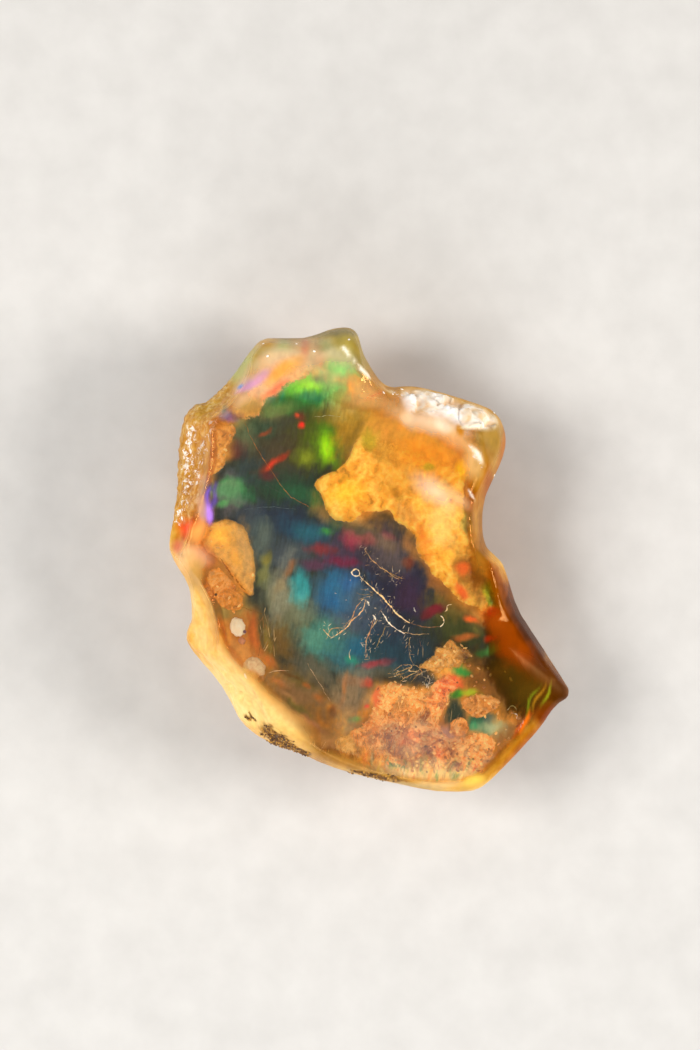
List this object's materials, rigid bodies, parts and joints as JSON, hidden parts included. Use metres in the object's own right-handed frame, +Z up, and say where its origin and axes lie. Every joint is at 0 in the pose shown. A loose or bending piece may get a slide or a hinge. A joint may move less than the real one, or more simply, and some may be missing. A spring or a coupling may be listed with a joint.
{
  "type": "rough opal",
  "caption": "Broken piece of rough precious opal: a honey-coloured stone with a clear, dished face, a pale rim, a rounded back and a flat patch to lie on.",
  "frame": {"origin": "middle of the stone's footprint box, on the surface that it rests on", "axes": "+Z up out of the clear face, +Y along the stone's longest side towards its blunt head, +X to the right as the face is looked at"},
  "size_m": [0.0568, 0.0658, 0.0206],
  "materials": {
    "opal": "gloss",
    "milky_opal": "satin",
    "fire_layer": "satin",
    "matrix": "matte"
  },
  "bodies": {
    "root": {"opal": "opal"}
  },
  "joints": []
}
